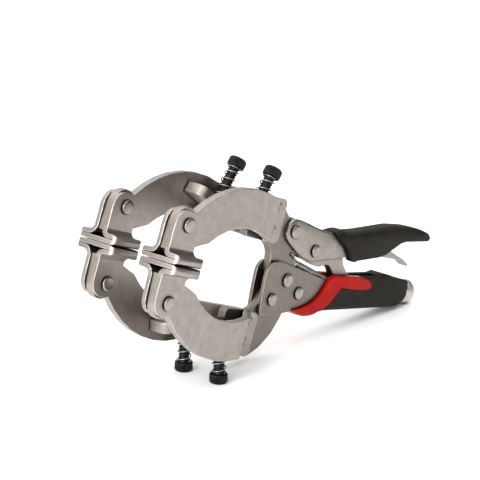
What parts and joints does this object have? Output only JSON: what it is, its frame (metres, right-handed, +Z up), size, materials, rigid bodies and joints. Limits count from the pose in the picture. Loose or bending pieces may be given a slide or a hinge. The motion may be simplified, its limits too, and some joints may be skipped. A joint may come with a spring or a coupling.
{
  "type": "locking pipe welding pliers",
  "caption": "Locking pliers with forked round jaws, swivel pads and sprung screws that clamp and align a pipe joint for welding.",
  "frame": {"origin": "middle of the bounding box's base, on the plane on which the lower screw heads and the knob stand", "axes": "+X from the swivel pads to the handles, +Y from the front arms to the rear arms, +Z up; the tool stands tipped, its handles sloping down to the knob"},
  "size_m": [0.3324, 0.0882, 0.1449],
  "materials": {
    "nickel_plate": "satin nickel plate over pressed and flame-cut steel",
    "plated_lever": "satin nickel plate over pressed sheet steel",
    "black_oxide": "black oxide over alloy steel, lightly oiled",
    "spring_steel": "bright zinc plate over steel wire and rod",
    "black_rubber": "matt moulded rubber",
    "red_trim": "satin moulded red elastomer",
    "zinc_knob": "turned, knurled and plated steel",
    "rivet_steel": "headed rivets, plated and rubbed bright"
  },
  "bodies": {
    "fixed_jaw": {"fixed_handle": "nickel_plate", "fixed_handle_grip": "black_rubber", "grip_trim": "red_trim", "fixed_jaw_tang": "nickel_plate", "main_pivot_rivet": "rivet_steel", "jaw_rivet_1": "rivet_steel", "jaw_rivet_2": "rivet_steel", "return_spring": "spring_steel", "lower_front_arm": "nickel_plate", "lower_front_lug": "nickel_plate", "lower_front_pad_rivet": "rivet_steel", "lower_rear_arm": "nickel_plate", "lower_rear_lug": "nickel_plate", "lower_rear_pad_rivet": "rivet_steel"},
    "adjusting_travel": {"adjusting_screw": "spring_steel"},
    "adjusting_turn": {"adjusting_knob": "zinc_knob"},
    "movable_jaw": {"movable_jaw_tang": "nickel_plate", "lever_pivot_rivet": "rivet_steel", "upper_front_arm": "nickel_plate", "upper_front_lug": "nickel_plate", "upper_front_pad_rivet": "rivet_steel", "upper_rear_arm": "nickel_plate", "upper_rear_lug": "nickel_plate", "upper_rear_pad_rivet": "rivet_steel"},
    "lever_arm": {"lever": "plated_lever", "lever_grip": "black_rubber", "toggle_rivet": "rivet_steel", "release_lever_pin": "rivet_steel"},
    "toggle": {"toggle_link": "plated_lever"},
    "release": {"release_lever": "plated_lever"},
    "upper_front_pad_swivel": {"upper_front_pad": "nickel_plate"},
    "upper_front_screw_carriage": {"upper_front_screw_spring": "spring_steel"},
    "upper_front_screw_turner": {"upper_front_screw": "black_oxide"},
    "upper_rear_pad_swivel": {"upper_rear_pad": "nickel_plate"},
    "upper_rear_screw_carriage": {"upper_rear_screw_spring": "spring_steel"},
    "upper_rear_screw_turner": {"upper_rear_screw": "black_oxide"},
    "lower_front_pad_swivel": {"lower_front_pad": "nickel_plate"},
    "lower_front_screw_carriage": {"lower_front_screw_spring": "spring_steel"},
    "lower_front_screw_turner": {"lower_front_screw": "black_oxide"},
    "lower_rear_pad_swivel": {"lower_rear_pad": "nickel_plate"},
    "lower_rear_screw_carriage": {"lower_rear_screw_spring": "spring_steel"},
    "lower_rear_screw_turner": {"lower_rear_screw": "black_oxide"}
  },
  "joints": [
    {"name": "jaw_opening", "type": "hinge", "parent": "fixed_jaw", "child": "movable_jaw", "pos_m": [0.00016, 0, 0.05191], "axis": [0, 1, 0], "range_deg": [0, 24], "deforming": ["return_spring"]},
    {"name": "lever_swing", "type": "hinge", "parent": "movable_jaw", "child": "lever_arm", "pos_m": [0.0068, 0, 0.08637], "axis": [0, 1, 0], "range_deg": [-67.5, 0]},
    {"name": "toggle_fold", "type": "hinge", "parent": "lever_arm", "child": "toggle", "pos_m": [0.03025, 0, 0.06718], "axis": [0, 1, 0], "range_deg": [0, 68.5]},
    {"name": "release_press", "type": "hinge", "parent": "lever_arm", "child": "release", "pos_m": [0.09468, 0, 0.05963], "axis": [0, 1, 0], "range_deg": [-6, 0]},
    {"name": "adjusting_screw_slide", "type": "slide", "parent": "fixed_jaw", "child": "adjusting_travel", "axis": [0.9802, 0, -0.198], "range_m": [0, 0.01125]},
    {"name": "adjusting_knob_turn", "type": "hinge", "parent": "adjusting_travel", "child": "adjusting_turn", "pos_m": [0.08165, 0, 0.0226], "axis": [0.9802, 0, -0.198], "range_deg": [0, 3241]},
    {"name": "upper_front_pad_hinge", "type": "hinge", "parent": "movable_jaw", "child": "upper_front_pad_swivel", "pos_m": [-0.13624, -0.0275, 0.1263], "axis": [0, 1, 0], "range_deg": [-12.1, 0]},
    {"name": "upper_front_screw_slide", "type": "slide", "parent": "movable_jaw", "child": "upper_front_screw_carriage", "axis": [0.6272, 0, 0.7789], "range_m": [-0.01, 0.005], "deforming": ["upper_front_screw_spring"]},
    {"name": "upper_front_screw_turn", "type": "hinge", "parent": "upper_front_screw_carriage", "child": "upper_front_screw_turner", "pos_m": [-0.06098, -0.016, 0.10517], "axis": [0.6272, 0, 0.7789], "range_deg": [-2881, 1441]},
    {"name": "upper_rear_pad_hinge", "type": "hinge", "parent": "movable_jaw", "child": "upper_rear_pad_swivel", "pos_m": [-0.13624, 0.0275, 0.1263], "axis": [0, 1, 0], "range_deg": [-12.1, 0]},
    {"name": "upper_rear_screw_slide", "type": "slide", "parent": "movable_jaw", "child": "upper_rear_screw_carriage", "axis": [0.6272, 0, 0.7789], "range_m": [-0.01, 0.005], "deforming": ["upper_rear_screw_spring"]},
    {"name": "upper_rear_screw_turn", "type": "hinge", "parent": "upper_rear_screw_carriage", "child": "upper_rear_screw_turner", "pos_m": [-0.06098, 0.016, 0.10517], "axis": [0.6272, 0, 0.7789], "range_deg": [-2881, 1441]},
    {"name": "lower_front_pad_hinge", "type": "hinge", "parent": "fixed_jaw", "child": "lower_front_pad_swivel", "pos_m": [-0.15346, -0.0275, 0.07744], "axis": [0, 1, 0], "range_deg": [0, 12.1]},
    {"name": "lower_front_screw_slide", "type": "slide", "parent": "fixed_jaw", "child": "lower_front_screw_carriage", "axis": [0, 0, -1], "range_m": [-0.01, 0.005], "deforming": ["lower_front_screw_spring"]},
    {"name": "lower_front_screw_turn", "type": "hinge", "parent": "lower_front_screw_carriage", "child": "lower_front_screw_turner", "pos_m": [-0.0816, -0.016, 0.0467], "axis": [0, 0, -1], "range_deg": [-2881, 1441]},
    {"name": "lower_rear_pad_hinge", "type": "hinge", "parent": "fixed_jaw", "child": "lower_rear_pad_swivel", "pos_m": [-0.15346, 0.0275, 0.07744], "axis": [0, 1, 0], "range_deg": [0, 12.1]},
    {"name": "lower_rear_screw_slide", "type": "slide", "parent": "fixed_jaw", "child": "lower_rear_screw_carriage", "axis": [0, 0, -1], "range_m": [-0.01, 0.005], "deforming": ["lower_rear_screw_spring"]},
    {"name": "lower_rear_screw_turn", "type": "hinge", "parent": "lower_rear_screw_carriage", "child": "lower_rear_screw_turner", "pos_m": [-0.0816, 0.016, 0.0467], "axis": [0, 0, -1], "range_deg": [-2881, 1441]}
  ],
  "couplings": [
    {"joint": "lever_swing", "follows": "jaw_opening", "ratio": -2.797},
    {"joint": "toggle_fold", "follows": "jaw_opening", "ratio": 2.841},
    {"joint": "adjusting_knob_turn", "follows": "adjusting_screw_slide", "rad_per_m": 5026.5},
    {"joint": "upper_front_pad_hinge", "follows": "jaw_opening", "ratio": -0.5},
    {"joint": "upper_front_screw_turn", "follows": "upper_front_screw_slide", "rad_per_m": 5026.5},
    {"joint": "upper_rear_pad_hinge", "follows": "jaw_opening", "ratio": -0.5},
    {"joint": "upper_rear_screw_turn", "follows": "upper_rear_screw_slide", "rad_per_m": 5026.5},
    {"joint": "lower_front_pad_hinge", "follows": "jaw_opening", "ratio": 0.5},
    {"joint": "lower_front_screw_turn", "follows": "lower_front_screw_slide", "rad_per_m": 5026.5},
    {"joint": "lower_rear_pad_hinge", "follows": "jaw_opening", "ratio": 0.5},
    {"joint": "lower_rear_screw_turn", "follows": "lower_rear_screw_slide", "rad_per_m": 5026.5}
  ]
}
